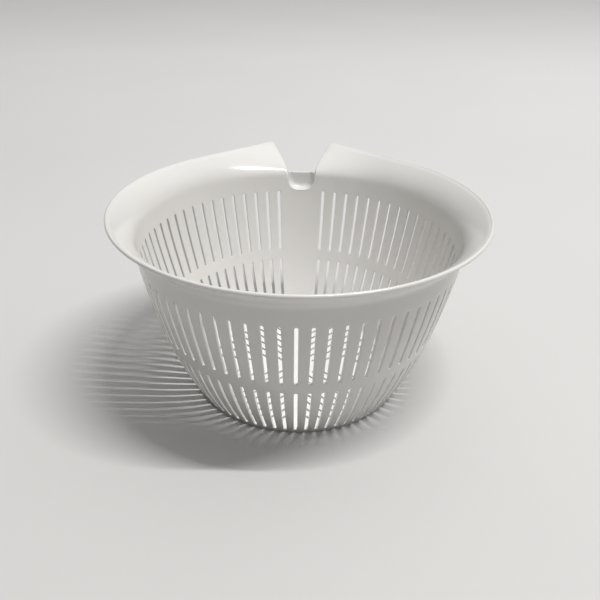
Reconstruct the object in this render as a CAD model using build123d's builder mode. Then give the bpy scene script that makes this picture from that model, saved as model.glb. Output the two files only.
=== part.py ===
from build123d import *
import math
import os

# Slotted basket of a salad spinner. The real thing is one white polypropylene moulding,
# so the sub-parts below are its regions, cut face to face and never overlapping.
# Millimetres, +Z up. The origin is on the standing plane at the axis of the bowl,
# the pouring notch points towards +Y and the front of the basket towards -Y.

# Wall of the bowl: the outer skin is two arcs that meet tangent, and the inner skin is the same
# pair moved inwards
wall = 2.0
wall_bottom = 1.5
wall_bottom_radius = 72.9
wall_bulge = (84.8, 24.1)
wall_knee = (93.8, 48.0)
wall_top = 104.0
wall_top_radius = 107.6

# Foot and base
foot_outer_radius = wall_bottom_radius
foot_inner_radius = wall_bottom_radius - wall
base_bottom = 0.9
base_top = 2.5
drain_width = 1.7
drain_pitch = 5.7
drain_reach = 66.0
plain_cross = 9.2

# Two tiers of upright slots, leaving a plain panel at the back
slot_count = 67
slot_pitch = 5.161
slot_width = 2.3
slot_end_radius = 0.9
lower_slot_bottom = 2.5
lower_slot_top = 45.9
upper_slot_bottom = 53.8
upper_slot_top = 99.9
rail = 1.0
panel_half_angle = 9.66

# Flared flange: a round edge that runs straight to a spout point at the back
flare_start_radius = 109.4
flare_start_height = 114.0
flare_turn_radius = 112.6
flare_turn_height = 119.0
rim_radius = 122.5
rim_height = 128.75
rim_shift = -1.5
bead_radius = 1.3
tangent_angle = 40.4
apex_y = rim_shift + rim_radius / math.cos(math.radians(tangent_angle))

# Notch cut out of the spout point, with a half-round pocket at its root
pocket_radius = 11.0
pocket_wall = 1.8
pocket_centre_height = 111.0
pocket_back = 112.2
pocket_plate_top = 113.3
notch_spread = 0.462


def wall_skin(inset):
    # One skin of the wall in half-section, from the foot to the flange.
    start = (wall_bottom_radius - inset, wall_bottom)
    bulge = (wall_bulge[0] - inset, wall_bulge[1])
    lower = ThreePointArc(start, bulge, (wall_knee[0] - inset, wall_knee[1]))
    TangentArc(lower @ 1, (wall_top_radius - inset, wall_top), tangent=lower % 1)


def wall_section():
    # Closed half-section between the two skins.
    with BuildSketch(Plane.XZ) as section:
        with BuildLine():
            wall_skin(0)
            wall_skin(wall)
            Line((wall_bottom_radius, wall_bottom), (wall_bottom_radius - wall, wall_bottom))
            Line((wall_top_radius, wall_top), (wall_top_radius - wall, wall_top))
        make_face()
    return section.sketch


def filled_section():
    # Closed half-section from the outer skin to the axis.
    with BuildSketch(Plane.XZ) as section:
        with BuildLine():
            wall_skin(0)
            Polyline((wall_top_radius, wall_top), (0, wall_top), (0, wall_bottom))
            Line((0, wall_bottom), (wall_bottom_radius, wall_bottom))
        make_face()
    return section.sketch


def slab(bottom, top):
    # Thick disc wider than the basket, for keeping the material between two heights.
    with BuildPart() as disc:
        with BuildSketch(Plane.XY.offset(bottom)):
            Circle(170)
        extrude(amount=top - bottom)
    return disc.part


def slot_cutter(bottom, top):
    # One upright slot with rounded ends, reaching outwards along +X.
    with BuildPart() as cutter:
        with BuildSketch(Plane.YZ.offset(60)):
            with Locations((0, (bottom + top) / 2)):
                RectangleRounded(slot_width, top - bottom, slot_end_radius)
        extrude(amount=60)
    return cutter.part


def panel_wedge():
    # Plan wedge of the plain back panel: its sides are the outer edges of the last two slots.
    tip = slot_width / 2 / math.sin(math.radians(panel_half_angle))
    spread = 150 * math.tan(math.radians(panel_half_angle))
    with BuildPart() as wedge:
        with BuildSketch():
            with BuildLine():
                Polyline((0, tip), (spread, tip + 150), (-spread, tip + 150), close=True)
            make_face()
        extrude(amount=wall_top)
    return wedge.part


def rim_edge(radius, shift, apex, bow):
    # Plan outline of the flange at one height: a long arc, then two nearly straight runs to the apex.
    side_x = radius * math.sin(math.radians(tangent_angle))
    side_y = radius * math.cos(math.radians(tangent_angle)) + shift
    middle_x = side_x / 2 + bow * math.sin(math.radians(tangent_angle))
    middle_y = (side_y + apex) / 2 + bow * math.cos(math.radians(tangent_angle))
    with BuildLine() as edge:
        ThreePointArc((side_x, side_y), (0, shift - radius), (-side_x, side_y))
        ThreePointArc((side_x, side_y), (middle_x, middle_y), (0, apex))
        ThreePointArc((-side_x, side_y), (-middle_x, middle_y), (0, apex))
    return edge.line


def flare_form(inset, lift):
    # Solid bounded by one skin of the flare: inset from the outer skin and lifted above it.
    circle_bow = (flare_start_radius - inset) * (1 - math.cos(math.radians(tangent_angle / 2)))
    with BuildPart() as form:
        with BuildSketch(Plane.XY.offset(wall_top)):
            radius = wall_top_radius - inset
            make_face(rim_edge(radius, 0, radius, circle_bow).edges())
        with BuildSketch(Plane.XY.offset(flare_start_height + lift)):
            radius = flare_start_radius - inset
            make_face(rim_edge(radius, 0, radius + 2.3, 0.93 * circle_bow).edges())
        with BuildSketch(Plane.XY.offset(flare_turn_height + lift)):
            radius = flare_turn_radius - 0.6 * inset
            make_face(rim_edge(radius, 0, radius + 8.3, 0.77 * circle_bow).edges())
        with BuildSketch(Plane.XY.offset(rim_height + lift)):
            make_face(rim_edge(rim_radius - 0.2 * inset, rim_shift, apex_y - 0.4 * inset, 0.3).edges())
        loft(ruled=True)
    return form.part


def notch_cutter():
    # The pour opening: a slot as wide as the pocket that spreads into a V towards the rim.
    with BuildPart() as cutter:
        with BuildSketch(Plane.XY.offset(pocket_centre_height)):
            with BuildLine():
                reach = 60
                wide = pocket_radius + notch_spread * reach
                Polyline(
                    (pocket_radius, 90),
                    (pocket_radius, pocket_back),
                    (wide, pocket_back + reach),
                    (-wide, pocket_back + reach),
                    (-pocket_radius, pocket_back),
                    (-pocket_radius, 90),
                    close=True,
                )
            make_face()
        extrude(amount=40)
        with BuildSketch(Plane.XZ.offset(-90)):
            with Locations((0, pocket_centre_height)):
                Circle(pocket_radius)
        extrude(amount=90 - pocket_back)
    return cutter.part


# Ring that the basket stands on
with BuildPart() as foot_ring:
    with BuildSketch():
        Circle(foot_outer_radius)
        Circle(foot_inner_radius, mode=Mode.SUBTRACT)
    extrude(amount=wall_bottom)
foot_ring.part.label = "foot_ring"

# Flat floor of the basket: each quarter has parallel drain slots that run outwards, and a plain
# cross is left between the quarters
with BuildPart() as base_plate:
    with BuildSketch(Plane.XY.offset(base_bottom)):
        Circle(foot_inner_radius)
        for step in range(7):
            across = (step + 0.5) * drain_pitch
            inner_end = across + plain_cross
            outer_end = math.sqrt(drain_reach**2 - across**2)
            middle = (inner_end + outer_end) / 2
            with PolarLocations(0, 4, 45):
                with Locations((middle, across), (middle, -across)):
                    SlotOverall(outer_end - inner_end, drain_width, mode=Mode.SUBTRACT)
    extrude(amount=base_top - base_bottom)
base_plate.part.label = "base_plate"

# Lower tier: ribs between the slots, joined by a thin rail above and below
with BuildPart() as lower_slot_tier:
    revolve(wall_section(), axis=Axis.Z)
    add(slab(wall_bottom, lower_slot_top + rail), mode=Mode.INTERSECT)
    add(panel_wedge(), mode=Mode.SUBTRACT)
    with PolarLocations(0, slot_count, -90 - 33 * slot_pitch, 66 * slot_pitch, endpoint=True):
        add(slot_cutter(lower_slot_bottom, lower_slot_top), mode=Mode.SUBTRACT)
lower_slot_tier.part.label = "lower_slot_tier"

# Plain band between the two tiers
with BuildPart() as middle_band:
    revolve(wall_section(), axis=Axis.Z)
    add(slab(lower_slot_top + rail, upper_slot_bottom - rail), mode=Mode.INTERSECT)
    add(panel_wedge(), mode=Mode.SUBTRACT)
middle_band.part.label = "middle_band"

# Upper tier of ribs and slots
with BuildPart() as upper_slot_tier:
    revolve(wall_section(), axis=Axis.Z)
    add(slab(upper_slot_bottom - rail, upper_slot_top + rail), mode=Mode.INTERSECT)
    add(panel_wedge(), mode=Mode.SUBTRACT)
    with PolarLocations(0, slot_count, -90 - 33 * slot_pitch, 66 * slot_pitch, endpoint=True):
        add(slot_cutter(upper_slot_bottom, upper_slot_top), mode=Mode.SUBTRACT)
upper_slot_tier.part.label = "upper_slot_tier"

# Plain band under the flange
with BuildPart() as upper_band:
    revolve(wall_section(), axis=Axis.Z)
    add(slab(upper_slot_top + rail, wall_top), mode=Mode.INTERSECT)
    add(panel_wedge(), mode=Mode.SUBTRACT)
upper_band.part.label = "upper_band"

# Plain strip of wall under the notch, from the foot to the flange, hollowed at its top by the pocket
with BuildPart() as back_panel:
    revolve(wall_section(), axis=Axis.Z)
    add(panel_wedge(), mode=Mode.INTERSECT)
    add(notch_cutter(), mode=Mode.SUBTRACT)
back_panel.part.label = "back_panel"

# Rounded bead along the free edge of the flange, open at the notch
with BuildPart() as rim_bead:
    with BuildLine(Plane.XY.offset(rim_height)) as edge_path:
        side_x = rim_radius * math.sin(math.radians(tangent_angle))
        side_y = rim_radius * math.cos(math.radians(tangent_angle)) + rim_shift
        Line((0.22 * side_x, 0.22 * side_y + 0.78 * apex_y), (side_x, side_y))
        ThreePointArc((side_x, side_y), (0, rim_shift - rim_radius), (-side_x, side_y))
        Line((-side_x, side_y), (-0.22 * side_x, 0.22 * side_y + 0.78 * apex_y))
    with BuildSketch(Plane(origin=edge_path.line @ 0, z_dir=edge_path.line % 0)):
        Circle(bead_radius)
    sweep()
    add(notch_cutter(), mode=Mode.SUBTRACT)
rim_bead.part.label = "rim_bead"

# Flared flange between the wall and the bead, cut open by the notch
with BuildPart() as rim_flange:
    add(flare_form(0, 0))
    add(flare_form(wall, 1.4), mode=Mode.SUBTRACT)
    add(notch_cutter(), mode=Mode.SUBTRACT)
    add(rim_bead.part, mode=Mode.SUBTRACT)
rim_flange.part.label = "rim_flange"

# Half-round pocket behind the wall at the root of the notch, closed by a low upright plate
with BuildPart() as notch_pocket:
    with BuildSketch(Plane.XZ.offset(-104)):
        with Locations((0, pocket_centre_height)):
            Circle(pocket_radius + pocket_wall)
        with Locations((0, pocket_plate_top)):
            Rectangle(40, 40, align=(Align.CENTER, Align.MIN), mode=Mode.SUBTRACT)
    extrude(amount=104 - pocket_back - pocket_wall)
    add(notch_cutter(), mode=Mode.SUBTRACT)
    revolve(filled_section(), axis=Axis.Z, mode=Mode.SUBTRACT)
    add(flare_form(0, 0), mode=Mode.SUBTRACT)
notch_pocket.part.label = "notch_pocket"

os.makedirs("parts", exist_ok=True)
export_step(foot_ring.part, "parts/foot_ring.step")
export_step(base_plate.part, "parts/base_plate.step")
export_step(lower_slot_tier.part, "parts/lower_slot_tier.step")
export_step(middle_band.part, "parts/middle_band.step")
export_step(upper_slot_tier.part, "parts/upper_slot_tier.step")
export_step(upper_band.part, "parts/upper_band.step")
export_step(back_panel.part, "parts/back_panel.step")
export_step(notch_pocket.part, "parts/notch_pocket.step")
export_step(rim_flange.part, "parts/rim_flange.step")
export_step(rim_bead.part, "parts/rim_bead.step")
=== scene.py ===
# %% [markdown]
# # A slotted salad basket
# This lesson dresses one moulded basket. The real one is a single shot of white polypropylene:
# a bowl with two tiers of upright slots, a flared flange that runs out to a notched pouring
# corner, a half-round pocket at the root of the notch and a slotted floor.

# %% Load the frame
import bmesh
import bpy
import math
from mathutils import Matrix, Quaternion, Vector


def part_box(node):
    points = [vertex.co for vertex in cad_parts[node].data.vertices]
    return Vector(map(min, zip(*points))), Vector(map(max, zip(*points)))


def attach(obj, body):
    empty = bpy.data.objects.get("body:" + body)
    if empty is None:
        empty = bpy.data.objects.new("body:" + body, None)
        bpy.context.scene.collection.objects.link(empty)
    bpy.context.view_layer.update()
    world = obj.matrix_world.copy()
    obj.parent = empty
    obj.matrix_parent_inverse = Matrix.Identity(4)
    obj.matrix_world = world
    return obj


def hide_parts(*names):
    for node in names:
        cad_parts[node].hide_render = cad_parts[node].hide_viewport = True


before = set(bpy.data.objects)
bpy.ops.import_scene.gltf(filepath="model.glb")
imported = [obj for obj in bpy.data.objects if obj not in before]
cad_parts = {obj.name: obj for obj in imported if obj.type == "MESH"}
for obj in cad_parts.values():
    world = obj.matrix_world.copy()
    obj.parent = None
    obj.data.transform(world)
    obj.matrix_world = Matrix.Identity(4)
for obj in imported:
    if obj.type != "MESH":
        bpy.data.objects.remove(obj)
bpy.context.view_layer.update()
MM = 0.001

# %% [markdown]
# The sizes in this lesson are in millimetres. The driving ones are read from the solids' boxes,
# so they could not drift from the model. The solids' round faces are made of flats, which come
# out a few hundredths small, so a reading is rounded to the nearest tenth.

# %% Read sizes from the solids
def low_face(node, axis):
    # The lowest X, Y or Z of a solid, in mm.
    return round(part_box(node)[0]["XYZ".index(axis)] / MM, 1)


def high_face(node, axis):
    # The highest X, Y or Z of a solid, in mm.
    return round(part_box(node)[1]["XYZ".index(axis)] / MM, 1)


print("foot ring, mm:", high_face("foot_ring", "X"), "by", high_face("foot_ring", "Z"))

# %% [markdown]
# ## Camera first
# The camera stands half a metre from the middle of the basket and looks down at about 29
# degrees. A last small roll about its own axis tilts the horizon as a camera held in the hand
# does.

# %% Camera
camera_data = bpy.data.cameras.new("camera")
camera_data.lens = 42.83
camera_data.sensor_width = 36.0
camera = bpy.data.objects.new("camera", camera_data)
bpy.context.scene.collection.objects.link(camera)
eye = Vector((3.57, -437.30, 301.02)) * MM
aim = Vector((1.18, 0.0, 58.14)) * MM
roll = Quaternion((0, 0, 1), math.radians(0.90))
camera.location = eye
camera.rotation_mode = "QUATERNION"
camera.rotation_quaternion = (aim - eye).to_track_quat("-Z", "Y") @ roll
bpy.context.scene.camera = camera
bpy.context.scene.view_settings.view_transform = "Standard"
print("camera distance, mm:", round((aim - eye).length / MM, 1))

# %% [markdown]
# ## Nodes written as arithmetic
# Both the shapes and the plastic are made of nodes. Placing Math nodes one by one hides the sum
# that they make, so a small class wraps a socket and turns +, -, * and / into Math nodes. One
# method, `node`, adds any other node: the settings are set first, then the sockets.

# %% The socket class
class Wire:
    def __init__(self, tree, socket=None):
        self.tree = tree
        self.socket = socket

    def node(self, kind, settings=None, sockets=None, out=0):
        made = self.tree.nodes.new(kind)
        for name, value in (settings or {}).items():
            setattr(made, name, value)
        for key, value in (sockets or {}).items():
            for each in value if isinstance(value, list) else [value]:
                if isinstance(each, Wire):
                    self.tree.links.new(each.socket, made.inputs[key])
                else:
                    made.inputs[key].default_value = each
        return Wire(self.tree, made.outputs[out])

    def output(self, number):
        # Another output of the node that this socket is on.
        return Wire(self.tree, self.socket.node.outputs[number])

    def maths(self, operation, *others, clamp=False):
        settings = {"operation": operation, "use_clamp": clamp}
        return self.node("ShaderNodeMath", settings, dict(enumerate((self, *others))))

    def ramp(self, start, end):
        # 0 up to start, 1 from end on, straight between.
        return (self - start).maths("DIVIDE", end - start, clamp=True)

    def __add__(self, other):
        return self.maths("ADD", other)

    def __radd__(self, other):
        return self.maths("ADD", other)

    def __sub__(self, other):
        return self.maths("SUBTRACT", other)

    def __rsub__(self, other):
        return self.node("ShaderNodeMath", {"operation": "SUBTRACT"}, {0: other, 1: self})

    def __mul__(self, other):
        return self.maths("MULTIPLY", other)

    def __rmul__(self, other):
        return self.maths("MULTIPLY", other)

    def __truediv__(self, other):
        return self.maths("DIVIDE", other)

    def __rtruediv__(self, other):
        return self.node("ShaderNodeMath", {"operation": "DIVIDE"}, {0: other, 1: self})

    def __lt__(self, other):
        return self.maths("LESS_THAN", other)

    def __gt__(self, other):
        return self.maths("GREATER_THAN", other)


# %% [markdown]
# ## From a node tree to a plain mesh
# Each shape made by Geometry Nodes starts as a tree with named inputs and ends with real
# geometry and its material. Instances could be left as they are to save memory, but an exporter
# drops them, so every tree makes them real.

# %% Start and close a tree
def new_tree(name, inputs):
    # A Geometry Nodes group with named inputs; returns it and a Wire for each input.
    tree = bpy.data.node_groups.new(name, "GeometryNodeTree")
    tree.interface.new_socket("Geometry", in_out="INPUT", socket_type="NodeSocketGeometry")
    for label, kind in inputs.items():
        tree.interface.new_socket(label, in_out="INPUT", socket_type=kind)
    tree.interface.new_socket("Geometry", in_out="OUTPUT", socket_type="NodeSocketGeometry")
    group_input = tree.nodes.new("NodeGroupInput")
    return tree, {socket.name: Wire(tree, socket) for socket in group_input.outputs if socket.name}


def close_tree(shape, material):
    # The last nodes of each tree: real geometry, its material, and the way out.
    real = shape.node("GeometryNodeRealizeInstances", {}, {"Geometry": shape})
    dressed = real.node("GeometryNodeSetMaterial", {}, {"Geometry": real, "Material": material})
    group_output = shape.tree.nodes.new("NodeGroupOutput")
    shape.tree.links.new(dressed.socket, group_output.inputs[0])
    print(shape.tree.name, "nodes:", len(shape.tree.nodes))


# %% [markdown]
# A tree needs an object to run on. A carrier object gets the modifier, its inputs are set by
# their identifiers, and the evaluated result is copied to a plain mesh. The modifier could stay
# live instead, but a plain mesh can be measured, bevelled and exported without surprises.

# %% Grow a mesh
def grow(name, carrier_mesh, tree, values):
    # Runs the tree on a carrier mesh and keeps the result as a plain object at the origin.
    carrier = bpy.data.objects.new(name + "_carrier", carrier_mesh)
    bpy.context.scene.collection.objects.link(carrier)
    modifier = carrier.modifiers.new("nodes", "NODES")
    modifier.node_group = tree
    for item in tree.interface.items_tree:
        if item.in_out == "INPUT" and item.name in values:
            modifier[item.identifier] = values[item.name]
    carrier.update_tag()
    seen = carrier.evaluated_get(bpy.context.evaluated_depsgraph_get())
    mesh = bpy.data.meshes.new_from_object(seen)
    mesh.name = name
    bpy.data.objects.remove(carrier)
    piece = bpy.data.objects.new(name, mesh)
    bpy.context.scene.collection.objects.link(piece)
    print(name, "faces:", len(mesh.polygons))
    return piece


# %% [markdown]
# A mould can't make a knife edge, so cut edges get a tiny Bevel. It is applied at once, for the
# same reason as the nodes are. Smooth shading then runs over the bevel and stops at any corner
# sharper than 40 degrees. The signed volume under the faces tells whether they point outwards:
# a shell that is inside out has a negative one.

# %% Finish a piece
def signed_volume(mesh):
    total = 0.0
    for face in mesh.polygons:
        corners = [mesh.vertices[v].co for v in face.vertices]
        for b, c in zip(corners[1:], corners[2:]):
            total += corners[0].dot(b.cross(c)) / 6
    return total / MM**3


def round_edges(piece, width):
    # Bevels every edge that turns by more than 50 degrees.
    bevel = piece.modifiers.new("bevel", "BEVEL")
    bevel.width = width * MM
    bevel.segments = 2
    bevel.limit_method = "ANGLE"
    bevel.angle_limit = math.radians(50)
    bevel.use_clamp_overlap = True
    seen = piece.evaluated_get(bpy.context.evaluated_depsgraph_get())
    mesh = bpy.data.meshes.new_from_object(seen)
    piece.modifiers.remove(bevel)
    piece.data = mesh


def dress(piece, *nodes):
    piece.data.polygons.foreach_set("use_smooth", [True] * len(piece.data.polygons))
    piece.data.set_sharp_from_angle(angle=math.radians(40))
    triangles = sum(len(p.vertices) - 2 for p in piece.data.polygons)
    print(piece.name, "triangles:", triangles, "volume, mm3:", round(signed_volume(piece.data)))
    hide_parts(*nodes)
    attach(piece, "root")


# %% [markdown]
# ## The plastic
# Natural-white polypropylene is not paper white: it is slightly warm, a little milky, and its
# mould surface is fine satin under a clear gloss. A flat colour would look like chalk, so slow
# noise shifts the tone by a percent or two, a second one shifts the roughness, and two bump
# scales give the faint orange peel and flow ripples of a moulded wall. An image texture could
# do this too, but noise on Object coordinates needs no unwrapping and has no seam.

# %% Texture helpers
def noise(place, scale, detail):
    sockets = {"Vector": place, "Scale": scale, "Detail": detail}
    return place.node("ShaderNodeTexNoise", {}, sockets)


def mix_colour(factor, first, second):
    sockets = {0: factor, 6: first, 7: second}
    return factor.node("ShaderNodeMix", {"data_type": "RGBA"}, sockets, out=2)


def bump(height, strength, distance, below=None):
    sockets = {"Height": height, "Strength": strength, "Distance": distance}
    if below:
        sockets["Normal"] = below
    return height.node("ShaderNodeBump", {}, sockets)


def new_material(name):
    # An empty material; returns it and its Object coordinates.
    material = bpy.data.materials.new(name)
    material.use_nodes = True
    return material, Wire(material.node_tree).node("ShaderNodeTexCoord", out="Object")


def connect(material, **values):
    # Links base_color, roughness and normal to the material's shader, which it returns.
    shader = material.node_tree.nodes["Principled BSDF"]
    for name, value in values.items():
        socket = shader.inputs[name.replace("_", " ").title()]
        material.node_tree.links.new(value.socket, socket)
    print(material.name, "nodes:", len(material.node_tree.nodes))
    return shader


# %% [markdown]
# The numbers below are scales and distances in metres. Flow ripples are 30 to 40 mm apart, and
# the orange peel is about a millimetre. The index of refraction is the same all over, so it is
# set on the shader itself.

# %% White polypropylene
plastic, place = new_material("white_polypropylene")
milky = noise(place, 14.0, 2.0).ramp(0.35, 0.65)
tone = mix_colour(milky, (0.755, 0.745, 0.725, 1), (0.775, 0.766, 0.748, 1))
sheen = 0.09 + noise(place, 45.0, 3.0) * 0.12
ripple = bump(noise(place, 28.0, 1.0), 0.25, 0.0006)
peel = bump(noise(place, 900.0, 2.0), 0.10, 0.00008, ripple)
shader = connect(plastic, base_color=tone, roughness=sheen, normal=peel)
shader.inputs["IOR"].default_value = 1.49

# %% [markdown]
# ## The wall's rule
# The wall, its slots, the flange and the spout point are one skin, so one grid makes them: its
# columns go round the basket, its rows go up it, and a rule says where each grid point lies. Up
# to the knee and on to the flange the wall is two arcs that meet tangent. Modelling half a bay
# by hand and mirroring it would work for the slots, but the spout point breaks the symmetry, and
# a rule handles both.

# %% Wall arcs
def arc_through(a, b, c):
    # Centre and radius of the circle through three (radius, height) points.
    d = 2 * (a[0] * (b[1] - c[1]) + b[0] * (c[1] - a[1]) + c[0] * (a[1] - b[1]))
    aa, bb, cc = (p[0] ** 2 + p[1] ** 2 for p in (a, b, c))
    x = (aa * (b[1] - c[1]) + bb * (c[1] - a[1]) + cc * (a[1] - b[1])) / d
    z = (aa * (c[0] - b[0]) + bb * (a[0] - c[0]) + cc * (b[0] - a[0])) / d
    return x, z, math.dist((x, z), a)


wall = 2.0
foot = (high_face("foot_ring", "X"), high_face("foot_ring", "Z"))
bulge, knee = (84.8, 24.1), (93.8, 48.0)
brim = (high_face("upper_band", "X"), high_face("upper_band", "Z"))
lower = arc_through(foot, bulge, knee)
across, up = brim[0] - knee[0], brim[1] - knee[1]
inward = ((lower[0] - knee[0]) / lower[2], (lower[1] - knee[1]) / lower[2])
upper_radius = (across**2 + up**2) / (2 * (across * inward[0] + up * inward[1]))
upper = (knee[0] + inward[0] * upper_radius, knee[1] + inward[1] * upper_radius, upper_radius)
print("wall arcs, mm:", [round(v, 1) for v in lower], [round(v, 1) for v in upper])

# %% [markdown]
# The rule has to answer twice: for a plain number, when Python works out the flange, and for a
# Wire, when the node tree bends the grid. One function does both. A Wire can't choose between
# two arcs with an if, so it adds them, each held at the knee while the other one is at work.

# %% Radius of the wall at a height
flare_height = 111.5


def on_arc(arc, z):
    gap = z - arc[1]
    square = arc[2] ** 2 - gap * gap
    root = square.maths("SQRT") if isinstance(square, Wire) else math.sqrt(square)
    return arc[0] + root


def wall_radius(height):
    # Outer radius of the wall, up to the height where the flange starts.
    if isinstance(height, Wire):
        low = on_arc(lower, height.maths("MAXIMUM", foot[1]).maths("MINIMUM", knee[1]))
        high = on_arc(upper, height.maths("MAXIMUM", knee[1]).maths("MINIMUM", flare_height))
        return low + high - knee[0]
    return on_arc(lower, max(height, foot[1])) if height < knee[1] else on_arc(upper, height)


print("wall radius at the flange, mm:", round(wall_radius(flare_height), 2))

# %% [markdown]
# ## Rows and columns
# A row is wanted exactly at each slot end and one slot-corner away from it, and only a few
# between. The rows are a list of (how many steps, height reached), so the height of row n is a
# sum of clamped ramps. Heights above the wall's top run on as a path along the flange.

# %% The rows
slot_corner, slot_margin = 0.9, 1.0
low_start = low_face("lower_slot_tier", "Z") + slot_margin
low_end = high_face("lower_slot_tier", "Z") - slot_margin
high_start = low_face("upper_slot_tier", "Z") + slot_margin
high_end = high_face("upper_slot_tier", "Z") - slot_margin
foot_edge, notch_height, flange_end = 1.2, 111.0, flare_height + 12.5
row_steps = [
    (1, foot_edge), (1, low_start), (1, low_start + slot_corner), (9, low_end - slot_corner),
    (1, low_end), (3, high_start), (1, high_start + slot_corner), (9, high_end - slot_corner),
    (1, high_end), (5, notch_height), (12, flange_end),
]
row_ends = [(0, 0.0)]
for steps, height in row_steps:
    row_ends.append((row_ends[-1][0] + steps, height))
row_at = {height: row for row, height in row_ends}
row_count = row_ends[-1][0]
slot_rows = [(row_at[low_start], row_at[low_end]), (row_at[high_start], row_at[high_end])]
notch_row = row_at[notch_height]
print("rows:", row_count, "slot rows:", slot_rows)

# %% [markdown]
# Each bay is one slot and the two half ribs beside it, cut into seven columns: the middle three
# are the slot. The plain panel at the back takes the angle that the bays leave, and its columns
# crowd together at the sides of the pocket, where the cut-out is steepest. The cut-out's edge is
# a U with corners squarer than a half circle: a squareness of 1 would be the half circle.

# %% The columns
bays = 67
pitch = math.radians(5.161)
bay_columns = 7
panel_start = bays * bay_columns
panel_columns = 18
column_count = panel_start + panel_columns
panel_edge = math.pi - bays / 2 * pitch
pocket_half_width, pocket_depth, squareness = 11.2, 11.0, 0.70
pocket_edge = math.asin(pocket_half_width / 107.0)
print("columns:", column_count, "panel half angle:", round(math.degrees(panel_edge), 2))

# %% [markdown]
# ## The flange's rule
# Seen from above, the rim is a circle set slightly forward, with two straight runs that leave
# it at about 40 degrees either side of the back and would meet in a point. The notch takes the
# point away, and its sides swing outwards, so the cut is a V.

# %% Rim outline
rim_half_width = high_face("rim_bead", "X")
rim_forward = round(-low_face("rim_bead", "Y") - rim_half_width, 1)
bead_circle = rim_half_width - 1.3
rim_circle, rim_tangent = bead_circle + 0.1, math.radians(40.4)
notch_angle, swing_end = math.radians(10.10), math.radians(48)
notch_swing = notch_angle - pocket_edge


def outline_reach(angle, circle):
    # Distance from the axis to the outline, at an angle from the back: circle or straight run.
    if angle < rim_tangent:
        return (circle - rim_forward * math.cos(rim_tangent)) / math.cos(angle - rim_tangent)
    side = rim_forward * math.sin(angle)
    return math.sqrt(circle**2 - side**2) - rim_forward * math.cos(angle)


def rim_angle(angle):
    # Where a flange column that leaves the wall at this angle reaches the rim.
    if angle < pocket_edge:
        return angle * (1 + notch_swing / pocket_edge)
    share = min(1.0, (angle - pocket_edge) / (swing_end - pocket_edge))
    return angle + notch_swing * (1 - share * share * (3 - 2 * share))


print("rim at the front, mm:", round(outline_reach(math.pi, rim_circle), 1))

# %% [markdown]
# Between wall and rim the flange bends smoothly, so each column of it is a three-point curve: up
# the wall, round a control point and out to the rim. The control point, the elbow, sits lower
# towards the notch, where the flange has further to go.

# %% Flange curve
bead_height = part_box("rim_flange")[1].z / MM
rim_height = bead_height - 0.85
elbow_radius, elbow_low, elbow_high = 110.4, 117.2, 119.0
elbow_rise = (math.radians(20), math.radians(38))


def flange_point(angle, share):
    # One point on the outer skin of the flange, angle from the back, share 0 to 1 out to the rim.
    turned = rim_angle(angle)
    reach = outline_reach(turned, rim_circle)
    rise = min(1.0, max(0.0, (angle - elbow_rise[0]) / (elbow_rise[1] - elbow_rise[0])))
    elbow_height = elbow_low + (elbow_high - elbow_low) * rise
    start = wall_radius(flare_height)
    ends = [
        (start * math.sin(angle), start * math.cos(angle), flare_height),
        (elbow_radius * math.sin(angle), elbow_radius * math.cos(angle), elbow_height),
        (reach * math.sin(turned), reach * math.cos(turned), rim_height),
    ]
    weights = ((1 - share) ** 2, 2 * share * (1 - share), share**2)
    return sum((Vector(e) * w for e, w in zip(ends, weights)), Vector())


print("notch corner, mm:", [round(v, 1) for v in flange_point(pocket_edge, 1.0)])

# %% [markdown]
# ## One grid, bent into the basket
# The tree starts with a flat grid whose points stand on whole numbers, so a point's position is
# its column and row. Everything after this is arithmetic on those two numbers.

# %% The flat grid
tree, given = new_tree("basket_skin", {
    "Slot Width": "NodeSocketFloat",
    "Slot Corner": "NodeSocketFloat",
    "Wall": "NodeSocketFloat",
    "Material": "NodeSocketMaterial",
})
begin = given["Geometry"]
grid = begin.node("GeometryNodeMeshGrid", {}, {
    "Size X": float(column_count), "Size Y": float(row_count),
    "Vertices X": column_count + 1, "Vertices Y": row_count + 1,
})
flat = begin.node("GeometryNodeInputPosition")
across_grid = flat.node("ShaderNodeSeparateXYZ", {}, {0: flat})
column = across_grid + column_count / 2
row = across_grid.output(1) + row_count / 2
print("grid cells:", column_count * row_count)

# %% [markdown]
# The slots and the notch could be cut with Boolean modifiers, but a hundred cuts through a
# curved wall are slow and leave ragged faces. Here the cells are deleted while the grid is still
# flat and easy to count. A face reads its position at its middle, so its numbers end in a half.

# %% Cut the slots and the notch
cell = (column / bay_columns).maths("FRACT") * bay_columns
in_slot_columns = (cell > 2.0) * (cell < 5.0) * (column < panel_start)
in_slot_rows = sum((row > first) * (row < last) for first, last in slot_rows)
over_pocket = (column > panel_start + 1) * (column < column_count - 1) * (row > notch_row)
cut_out = (in_slot_columns * in_slot_rows + over_pocket) > 0.5
skin = begin.node(
    "GeometryNodeDeleteGeometry", {"domain": "FACE"}, {"Geometry": grid, "Selection": cut_out}
)
print("slots:", bays * len(slot_rows))

# %% [markdown]
# A row's height is a sum of ramps, one for each step in the list. The slots' ends have rounded
# corners, as the mould's pins do, so the two points beside each corner move a little: the share
# of a corner's radius that lies outside its arc at 45 degrees.

# %% Heights and slot corners
height = sum(row.ramp(a[0], b[0]) * (b[1] - a[1]) for a, b in zip(row_ends, row_ends[1:]))
bay = ((column + 0.01) / bay_columns).maths("FLOOR")
from_middle = (column - bay * bay_columns - bay_columns / 2).maths("ABSOLUTE")
is_corner_column = (from_middle > 1.0) * (from_middle < 2.0) * (column < panel_start)


def near(number, wanted):
    return (number - wanted).maths("ABSOLUTE") < 0.25


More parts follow.
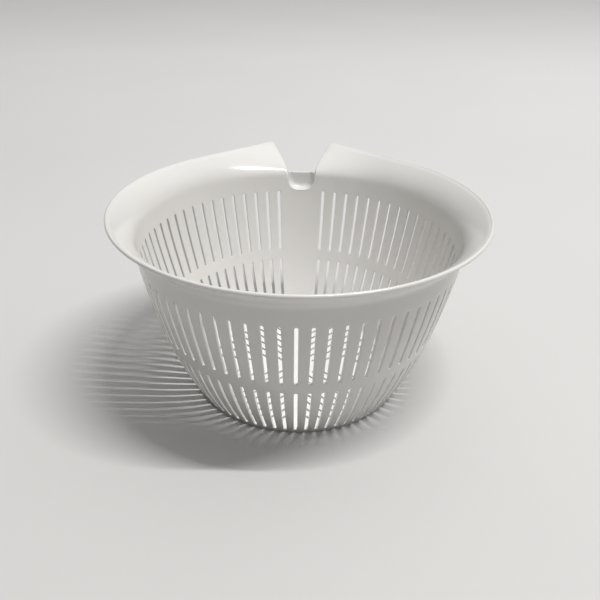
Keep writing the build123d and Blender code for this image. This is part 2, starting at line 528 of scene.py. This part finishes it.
bottom_end = sum(near(row, first) for first, last in slot_rows)
top_end = sum(near(row, last) for first, last in slot_rows)
trim = given["Slot Corner"] * is_corner_column * (1 - math.sqrt(0.5))
height = height + trim * (bottom_end - top_end)
print("highest row, mm:", row_ends[-1][1], "nodes so far:", len(tree.nodes))

# %% [markdown]
# Within a bay, the columns' angles come from the slot's width and the wall's radius at that
# height, so the slot keeps its width while the bay widens towards the brim. That is how the
# real slots look: the ribs between them taper, and the slots don't.

# %% Angles in the bays
radius = wall_radius(height)
half_slot = given["Slot Width"] / 2
slot_side = half_slot - trim * (bottom_end + top_end)
choices = [
    ((from_middle < 1.0), (half_slot - given["Slot Corner"]) / radius),
    ((from_middle > 1.0) * (from_middle < 2.0), slot_side / radius),
    ((from_middle > 2.0) * (from_middle < 3.0), half_slot / radius / 2 + pitch / 4),
    ((from_middle > 3.0), pitch / 2),
]
swing = sum(here * value for here, value in choices)
side = (column - bay * bay_columns - bay_columns / 2).maths("SIGN")
bay_angle = (bay - (bays - 1) / 2) * pitch + side * swing
print("one bay, degrees:", round(math.degrees(pitch), 3), "nodes so far:", len(tree.nodes))

# %% [markdown]
# In the panel the columns follow the U of the pocket instead. `along` runs from -1 to 1 across
# the U, and the outermost column on each side fills the gap to the first bay. `turn` is then
# every column's angle from the back, without its sign, and `hand` is the sign.

# %% Angles in the panel
half_panel = panel_columns / 2
along = (column - panel_start - half_panel) / (half_panel - 1)
held = along.maths("MAXIMUM", -1.0).maths("MINIMUM", 1.0)
outside = along - held
beyond = outside * (half_panel - 1) * (panel_edge - pocket_edge)
bow = (held * math.pi / 2).maths("SINE").maths("ABSOLUTE").maths("POWER", squareness)
panel_angle = held.maths("SIGN") * bow * pocket_edge + beyond + math.pi
in_panel = column > panel_start + 0.25
front_angle = bay_angle * (1 - in_panel) + panel_angle * in_panel
back_angle = front_angle - front_angle.maths("SIGN") * math.pi
turn = back_angle.maths("ABSOLUTE")
hand = back_angle.maths("SIGN")
print("panel width at the brim, mm:", round(2 * panel_edge * brim[0], 1))

# %% [markdown]
# The top of the panel is cut away in a U for the pocket. Its rows could be deleted too, but that
# would leave steps. Instead the rows above the sink's start are pressed down, so that the top
# row lies along the U.

# %% The panel sinks under the pocket
sink_start = 92.0
hollow = (held * math.pi / 2).maths("COSINE").maths("MAXIMUM", 0.0).maths("POWER", squareness)
dip = hollow * pocket_depth * in_panel
sink = height.ramp(sink_start, notch_height) * (1 - (height > notch_height + 0.01))
height = height - sink * dip * (1 - outside.maths("ABSOLUTE") * (half_panel - 1))
radius = wall_radius(height)
share = height.ramp(flare_height, flange_end)
print("cut for the pocket, mm:", 2 * pocket_half_width, "wide and", pocket_depth, "deep")

# %% [markdown]
# The rim is the outline rule from above, said again in nodes: the columns swing outwards near
# the notch, and then reach either the circle or the straight run.

# %% Out to the rim
spread = turn.ramp(pocket_edge, swing_end)
eased = 1 - spread * spread * (3 - 2 * spread)
rim_turn = turn + notch_swing * eased * turn.ramp(0.0, pocket_edge)
rim_line = rim_circle - rim_forward * math.cos(rim_tangent)
straight = rim_line / (rim_turn - rim_tangent).maths("COSINE")
offset = rim_turn.maths("SINE") * rim_forward
circle = (rim_circle**2 - offset * offset).maths("SQRT") - rim_turn.maths("COSINE") * rim_forward
on_line = rim_turn < rim_tangent
reach = straight * on_line + circle * (1 - on_line)
print("straight run's distance from the axis, mm:", round(rim_line, 1))

# %% [markdown]
# Wall, elbow and rim are blended with the weights of a three-point curve. On the wall itself the
# share is 0, so the first weight is 1 and the point simply stays on the wall.

# %% Bend the grid
one, two, three = (1 - share) * (1 - share), share * (1 - share) * 2, share * share
wall_part = radius * one + elbow_radius * two
elbow_height = turn.ramp(*elbow_rise) * (elbow_high - elbow_low) + elbow_low
sine, cosine = (hand * turn).maths("SINE"), turn.maths("COSINE")
rim_sine, rim_cosine = (hand * rim_turn).maths("SINE"), rim_turn.maths("COSINE")
x = 0 - (wall_part * sine + reach * three * rim_sine)
y = wall_part * cosine + reach * three * rim_cosine
z = height.maths("MINIMUM", flare_height) * one + elbow_height * two + rim_height * three
bent = begin.node("ShaderNodeCombineXYZ", {}, {0: x * MM, 1: y * MM, 2: z * MM})
skin = skin.node("GeometryNodeSetPosition", {}, {"Geometry": skin, "Position": bent})
weld = 0.02 * MM
skin = skin.node("GeometryNodeMergeByDistance", {}, {"Geometry": skin, "Distance": weld})
print("nodes so far:", len(tree.nodes))

# %% [markdown]
# A Solidify modifier would thicken the skin, but it is simple to do in the tree. The skin is
# turned to face inwards and pushed in by the wall's thickness, and joined to its own outside,
# which closes the edges of every slot.

# %% Give the skin its thickness
facing_in = skin.node("GeometryNodeFlipFaces", {}, {"Mesh": skin})
pushed = skin.node("GeometryNodeExtrudeMesh", {"mode": "FACES"}, {
    "Mesh": facing_in, "Offset Scale": given["Wall"] * MM, "Individual": False,
})
shell = skin.node("GeometryNodeJoinGeometry", {}, {"Geometry": [pushed, skin]})
shell = shell.node("GeometryNodeMergeByDistance", {}, {"Geometry": shell, "Distance": weld})
close_tree(shell, given["Material"])

# %% [markdown]
# Now the tree runs. The carrier is an empty mesh, because the grid comes from the tree itself.
# The bevel of 0.22 mm is what catches the light along the slots' edges.

# %% Grow the basket
basket = grow("basket_moulding", bpy.data.meshes.new("empty"), tree, {
    "Slot Width": 2.3, "Slot Corner": slot_corner, "Wall": wall, "Material": plastic,
})
round_edges(basket, 0.22)
dress(
    basket, "foot_ring", "lower_slot_tier", "middle_band", "upper_slot_tier", "upper_band",
    "back_panel", "rim_flange",
)

# %% [markdown]
# ## The bead along the rim
# A bead stiffens the rim, and past the corners of the notch it thins to the rounded edge of the
# cut. It is a tube swept along a path, so the path is worked out from the flange's own rule: up
# one side of the notch, all round the rim, and down the other side. A torus would be quicker, but
# it has no straight runs and no notch.

# %% Points on the rim and on the notch's edge
def bead_point(angle):
    # The bead's centre on the rim, at an angle from the back.
    reach = outline_reach(angle, bead_circle)
    return Vector((reach * math.sin(angle), reach * math.cos(angle), bead_height))


def edge_point(share):
    # The notch's edge, midway through the flange's thickness.
    here = flange_point(pocket_edge, share)
    ahead = flange_point(pocket_edge, share + 0.01) - here
    across_flange = flange_point(pocket_edge + 0.01, share) - here
    normal = across_flange.cross(ahead).normalized()
    return here + normal * math.copysign(wall / 2, normal.z)


rim_path = [bead_point(notch_angle + (math.pi - notch_angle) * n / 120) for n in range(121)]
edge_path = [edge_point(0.12 + 0.88 * n / 24) for n in range(25)]
print("points on half the rim:", len(rim_path), "on the notch's edge:", len(edge_path))

# %% [markdown]
# The corner between edge and rim can't be sharp, or the tube would pinch. Points closer to it
# than the corner's reach are dropped, and a short three-point curve turns it instead. The half
# path is mirrored for the other side.

# %% The bead's path
corner, corner_reach, corner_steps = rim_path[0], 2.2, 6
rim_side = [p for p in rim_path if (p - corner).length > corner_reach]
edge_side = [p for p in edge_path if (p - corner).length > corner_reach]
before = corner + (edge_side[-1] - corner).normalized() * corner_reach
after = corner + (rim_side[0] - corner).normalized() * corner_reach
turned_corner = []
for step in range(corner_steps + 1):
    t = step / corner_steps
    turned_corner.append(before * (1 - t) ** 2 + corner * 2 * t * (1 - t) + after * t**2)
half_path = edge_side + turned_corner + rim_side
mirrored = [Vector((-p.x, p.y, p.z)) for p in reversed(half_path[:-1])]
bead_path = half_path + mirrored
length = sum((b - a).length for a, b in zip(bead_path, bead_path[1:]))
print("bead path points:", len(bead_path), "length, mm:", round(length, 1))

# %% [markdown]
# The path goes in as a string of edges. Each point carries its own tube radius as a named
# attribute, so the bead can thin along the notch and taper to a tip at both ends.

# %% The bead's thickness
bead_radius, edge_radius, fade_length = 1.26, 1.04, 6.0
path_mesh = bpy.data.meshes.new("bead_path")
path_mesh.from_pydata(
    [p * MM for p in bead_path], [(n, n + 1) for n in range(len(bead_path) - 1)], []
)
thickness = path_mesh.attributes.new("thickness", "FLOAT", "POINT")
for number, point in enumerate(bead_path):
    from_end = min(number, len(bead_path) - 1 - number)
    past_corner = (Vector((abs(point.x), point.y, point.z)) - corner).length
    thin = min(1.0, past_corner / fade_length) if from_end < len(edge_side) else 0.0
    taper = min(1.0, 0.4 + 0.2 * from_end)
    thickness.data[number].value = (bead_radius + (edge_radius - bead_radius) * thin) * taper * MM
print("tip radius, mm:", round(thickness.data[0].value / MM, 2))

# %% [markdown]
# Curve to Mesh sweeps a circle along the path. It takes the thickness through its Scale input,
# so the circle has a radius of 1.

# %% The bead's node tree
tree, given = new_tree("rim_bead", {"Sides": "NodeSocketInt", "Material": "NodeSocketMaterial"})
begin = given["Geometry"]
radius_read = begin.node(
    "GeometryNodeInputNamedAttribute", {"data_type": "FLOAT"}, {"Name": "thickness"}
)
line = begin.node("GeometryNodeMeshToCurve", {}, {"Mesh": begin})
ring = begin.node("GeometryNodeCurvePrimitiveCircle", {"mode": "RADIUS"}, {
    "Resolution": given["Sides"], "Radius": 1.0,
})
tube = line.node("GeometryNodeCurveToMesh", {}, {
    "Curve": line, "Profile Curve": ring, "Scale": radius_read, "Fill Caps": True,
})
close_tree(tube, given["Material"])

# %% [markdown]
# Sixteen sides are enough for a tube two and a half millimetres thick. It needs no bevel,
# because the only sharp edges are the caps at its two hidden tips.

# %% Grow the bead
bead = grow("rim_bead_tube", path_mesh, tree, {"Sides": 16, "Material": plastic})
dress(bead, "rim_bead")

# %% [markdown]
# ## The pocket
# Behind the notch the wall steps out into a half-round pocket, closed by a low upright plate.
# It occurs once, so it needs no nodes: a short table of loops is enough. Every loop is the same
# U seen from the front, a little wider or narrower, moved along Y, and the faces between the
# loops make the shell.

# %% The pocket's U
pocket_half, pocket_drop = 10.4, 12.3
pocket_top = high_face("notch_pocket", "Z")
u_steps = 36


def u_point(step, wider, lift=1.0, lower_by=0.0):
    # X and Z of one point of the U; lift 0 raises it to the top line, lower_by lowers that line.
    angle = math.pi * (step / u_steps - 0.5)
    sideways = math.copysign(abs(math.sin(angle)) ** squareness, angle)
    down = max(math.cos(angle), 0.0) ** squareness
    height = pocket_top - lower_by - (pocket_drop + wider) * down * lift
    return sideways * (pocket_half + wider), height


def wall_face(height):
    # How far back the inner face of the wall lies, and of the flange where it starts to bend.
    bend_start = 109.0
    past_bend = max(height - bend_start, 0.0)
    return wall_radius(min(height, bend_start)) - wall - 0.05 + 0.08 * past_bend**2


print("pocket bottom, mm:", round(u_point(u_steps // 2, 0.0)[1], 1))

# %% [markdown]
# At each step round the U, the shell's section has four parts. A thin lip covers the cut in the
# wall. A fillet turns from the pocket's side to the face of the plate. The plate's top edge is
# rounded over, which is what gives it its bright line. The outside then comes back to the wall.

# %% The pocket's section
plate_back = high_face("notch_pocket", "Y")
plate_front, plate_round = plate_back - wall, 0.9
fillet_start, fillet_steps, top_steps = 108.4, 6, 8
lip = [(1.5, 0.5), (1.35, -0.12), (0.85, -0.32), (0.35, -0.25), (0.05, 0.1)]
plate_lifts = (0.6, 0.3, 0.0)


def pocket_loop(step):
    # Every loop's point at one step round the U, in order round the shell's section.
    face = wall_face(u_point(step, 0.0)[1])
    points = [(*u_point(step, wider), face + back) for wider, back in lip]
    begin_fillet = max(fillet_start, face + 0.45)
    size = max(plate_front - begin_fillet, 0.0)
    for n in range(fillet_steps + 1):
        bend = math.pi / 2 * n / fillet_steps
        narrowed = u_point(step, -size * (1 - math.cos(bend)))
        points.append((*narrowed, min(begin_fillet, plate_front) + size * math.sin(bend)))
    points += [(*u_point(step, -size, lift, plate_round), plate_front) for lift in plate_lifts]
    for n in range(1, top_steps):
        bend = math.pi * n / top_steps
        wider = wall * n / top_steps - size * (1 - n / top_steps)
        over = u_point(step, wider, 0.0, plate_round * (1 - math.sin(bend)))
        points.append((*over, plate_front + wall / 2 * (1 - math.cos(bend))))
    points += [(*u_point(step, wall, lift, plate_round), plate_back) for lift in plate_lifts[::-1]]
    backs = (plate_back, 0.5 * (plate_back + face) + 0.3, face + 0.9)
    points += [(*u_point(step, wall), back) for back in backs]
    return [Vector((x, y, z)) for x, z, y in points]


loops = [pocket_loop(step) for step in range(u_steps + 1)]
loop_size = len(loops[0])
print("pocket loops:", len(loops), "points in each:", loop_size)

# %% [markdown]
# Faces join each loop to the next. The two end loops are closed by a fan round their middle
# point. Some points of the loops fall together there, so the doubles are merged, and the signed
# volume says whether the whole shell has to be turned round.

# %% The pocket's shell
ends = [sum(loops[n], Vector()) / loop_size for n in (0, -1)]
vertices = [p * MM for loop in loops for p in loop] + [p * MM for p in ends]
faces = []
for step in range(u_steps):
    for n in range(loop_size):
        a, b = step * loop_size + n, step * loop_size + (n + 1) % loop_size
        faces.append((a, b, b + loop_size, a + loop_size))
last = u_steps * loop_size
for n in range(loop_size):
    following = (n + 1) % loop_size
    faces.append((following, n, len(vertices) - 2))
    faces.append((last + n, last + following, len(vertices) - 1))
pocket_mesh = bpy.data.meshes.new("pocket_shell")
pocket_mesh.from_pydata(vertices, [], faces)
welded = bmesh.new()
welded.from_mesh(pocket_mesh)
bmesh.ops.remove_doubles(welded, verts=welded.verts, dist=0.01 * MM)
welded.to_mesh(pocket_mesh)
welded.free()
if signed_volume(pocket_mesh) < 0:
    pocket_mesh.flip_normals()
print("pocket faces:", len(pocket_mesh.polygons))

# %% [markdown]
# The pocket's lip and its top edges are rounded a little more than the slots, because a finger
# or the tab of a lid rubs there.

# %% Place the pocket
pocket = bpy.data.objects.new("pocket_shell", pocket_mesh)
bpy.context.scene.collection.objects.link(pocket)
pocket_mesh.materials.append(plastic)
round_edges(pocket, 0.3)
dress(pocket, "notch_pocket")

# %% [markdown]
# ## The slotted floor
# The floor is a disc with drain slots in four quarters. Each quarter holds a set of parallel
# slots that start along a plain cross and end at a plain ring. All of them are one rule: a
# point for each slot, placed and sized by its number. An Array modifier could space them, but
# it can't make each one end at the ring.

# %% Where each floor slot lies
tree, given = new_tree("slotted_floor", {
    "Slots Each Quarter": "NodeSocketInt",
    "Pitch": "NodeSocketFloat",
    "Slot Width": "NodeSocketFloat",
    "Slot Reach": "NodeSocketFloat",
    "Plain Cross": "NodeSocketFloat",
    "Disc Radius": "NodeSocketFloat",
    "Underside": "NodeSocketFloat",
    "Thickness": "NodeSocketFloat",
    "Material": "NodeSocketMaterial",
})
begin = given["Geometry"]
each = given["Slots Each Quarter"]
number = begin.node("GeometryNodeInputIndex")
quarter = ((number + 0.5) / each).maths("FLOOR")
sideways = (number - quarter * each - (each - 1) / 2) * given["Pitch"]
first = sideways.maths("ABSOLUTE") + given["Plain Cross"]
final = (given["Slot Reach"] * given["Slot Reach"] - sideways * sideways).maths("SQRT")
middle = (first + final) / 2
turned = quarter * (math.pi / 2) + math.pi / 4
cosine, sine = turned.maths("COSINE"), turned.maths("SINE")
print("nodes that place a slot:", len(tree.nodes))

# %% [markdown]
# At each point stands a unit square, stretched to the slot's length and width and turned to its
# quarter's direction. Once the squares are real, their corners are rounded to full ends, as the
# mould's pins have.

# %% Outlines of the floor slots
spot = begin.node("ShaderNodeCombineXYZ", {}, {
    0: (middle * cosine - sideways * sine) * MM, 1: (middle * sine + sideways * cosine) * MM,
})
size = begin.node("ShaderNodeCombineXYZ", {}, {
    0: (final - first) * MM, 1: given["Slot Width"] * MM, 2: 1.0,
})
facing = begin.node("ShaderNodeCombineXYZ", {}, {2: turned})
dots = begin.node("GeometryNodePoints", {}, {"Count": each * 4, "Position": spot})
square = begin.node("GeometryNodeCurvePrimitiveQuadrilateral", {}, {0: 1.0, 1: 1.0})
outlines = dots.node("GeometryNodeInstanceOnPoints", {}, {
    "Points": dots, "Instance": square, "Rotation": facing, "Scale": size,
})
outlines = outlines.node("GeometryNodeRealizeInstances", {}, {"Geometry": outlines})
outlines = outlines.node("GeometryNodeFilletCurve", {"mode": "POLY"}, {
    "Curve": outlines, "Count": 4, "Radius": given["Slot Width"] * (0.48 * MM),
    "Limit Radius": True,
})
print("nodes so far:", len(tree.nodes))

# %% [markdown]
# Fill Curve fills the disc's outline and leaves out whatever lies inside the slots' outlines, so
# the holes are real. The flat sheet is then raised to its height and extruded upwards, and a
# flipped copy of it closes the underside.

# %% Fill and thicken the floor
disc = begin.node("GeometryNodeCurvePrimitiveCircle", {"mode": "RADIUS"}, {
    "Resolution": 160, "Radius": given["Disc Radius"] * MM,
})
both = disc.node("GeometryNodeJoinGeometry", {}, {"Geometry": [outlines, disc]})
sheet = both.node("GeometryNodeFillCurve", {}, {"Curve": both})
rise = begin.node("ShaderNodeCombineXYZ", {}, {2: given["Underside"] * MM})
sheet = sheet.node("GeometryNodeSetPosition", {}, {"Geometry": sheet, "Offset": rise})
raised = sheet.node("GeometryNodeExtrudeMesh", {"mode": "FACES"}, {
    "Mesh": sheet, "Offset Scale": given["Thickness"] * MM, "Individual": False,
})
under = sheet.node("GeometryNodeFlipFaces", {}, {"Mesh": sheet})
plate = raised.node("GeometryNodeJoinGeometry", {}, {"Geometry": [raised, under]})
plate = plate.node("GeometryNodeMergeByDistance", {}, {"Geometry": plate, "Distance": 0.01 * MM})
close_tree(plate, given["Material"])

# %% [markdown]
# The plate's height and thickness come from its solid. Its disc is 0.7 mm larger, so that its
# edge is buried in the wall, as it is in one moulding.

# %% Grow the floor
underside, top_side = low_face("base_plate", "Z"), high_face("base_plate", "Z")
floor_plate = grow("slotted_floor", bpy.data.meshes.new("empty_floor"), tree, {
    "Slots Each Quarter": 14, "Pitch": 5.7, "Slot Width": 1.7, "Slot Reach": 66.0,
    "Plain Cross": 9.2, "Disc Radius": high_face("base_plate", "X") + 0.7,
    "Underside": underside, "Thickness": top_side - underside, "Material": plastic,
})
dress(floor_plate, "base_plate")

# %% [markdown]
# ## Table and studio
# The basket stands on a wide pale sheet that fills the view, so no horizon shows. Its colour
# lightens slowly towards the back: painted light, standing in for the brighter light on the far
# sheet. Slow noise varies the tone at random, and a faint grain keeps it from looking like a flat
# fill.

# %% Table
table_mesh = bpy.data.meshes.new("table")
table_mesh.from_pydata([(-6, -6, 0), (6, -6, 0), (6, 6, 0), (-6, 6, 0)], [], [(0, 1, 2, 3)])
table = bpy.data.objects.new("table", table_mesh)
bpy.context.scene.collection.objects.link(table)
paper, place = new_material("pale_table")
cloudy = noise(place, 3.0, 2.0).ramp(0.3, 0.7) * 0.08
# Painted light: this ramp makes the table's colour darker in front and lighter at the back, in
# place of light that falls brighter on the far sheet; the cloudy noise is the sheet's own tone.
painted_light_ramp = place.node("ShaderNodeSeparateXYZ", {}, {0: place}).output(1).ramp(-0.3, 1.2)
paper_tone_and_painted_light = mix_colour(painted_light_ramp * 0.92 + cloudy, (0.580, 0.574, 0.567, 1), (0.805, 0.805, 0.805, 1))
paper_sheen = 0.65 + noise(place, 60.0, 2.0) * 0.1
paper_grain = bump(noise(place, 700.0, 3.0), 0.05, 0.0001)
connect(paper, base_color=paper_tone_and_painted_light, roughness=paper_sheen, normal=paper_grain)
table_mesh.materials.append(paper)

# %% [markdown]
# The soft room light is a sky dome made of the direction alone: dim at the horizon, full
# overhead, and brighter at the back and on the right. An even dome would be simpler, but it
# would fill the shadow and take the shape out of a white object on a white sheet.

# %% Room light
world = bpy.data.worlds.new("studio")
bpy.context.scene.world = world
world.use_nodes = True
direction = Wire(world.node_tree).node("ShaderNodeTexCoord", out="Generated")
to_right = direction.node("ShaderNodeSeparateXYZ", {}, {0: direction})
towards_back, height_up = to_right.output(1), to_right.output(2)
dome = height_up.ramp(0.42, 0.94) * 1.12 + 0.06
from_back = towards_back * 0.55 + 0.75
glow = dome * from_back * (to_right * 0.55 + 1.0)
background = world.node_tree.nodes["Background"]
world.node_tree.links.new(glow.socket, background.inputs["Strength"])
background.inputs["Color"].default_value = (1.0, 0.985, 0.965, 1)
print("world nodes:", len(world.node_tree.nodes))

# %% [markdown]
# The main light is a long tube overhead, a little to the right. Long tubes give shadows that are
# soft along the tube and crisp across it, and they draw thin bright lines in a glossy rim. A
# square softbox would blur the slots' shadows both ways. An area light shines down its own -Z,
# so a tube overhead needs no turning.

# %% Tube light
tube_data = bpy.data.lights.new("tube", "AREA")
tube_data.shape = "RECTANGLE"
tube_data.size = 1.60
tube_data.size_y = 0.06
tube_data.energy = 80
tube_data.color = (1.0, 0.99, 0.98)
tube_light = bpy.data.objects.new("tube", tube_data)
tube_light.location = (1.05, -0.46, 3.0)
bpy.context.scene.collection.objects.link(tube_light)
print("tube light, W:", tube_data.energy)
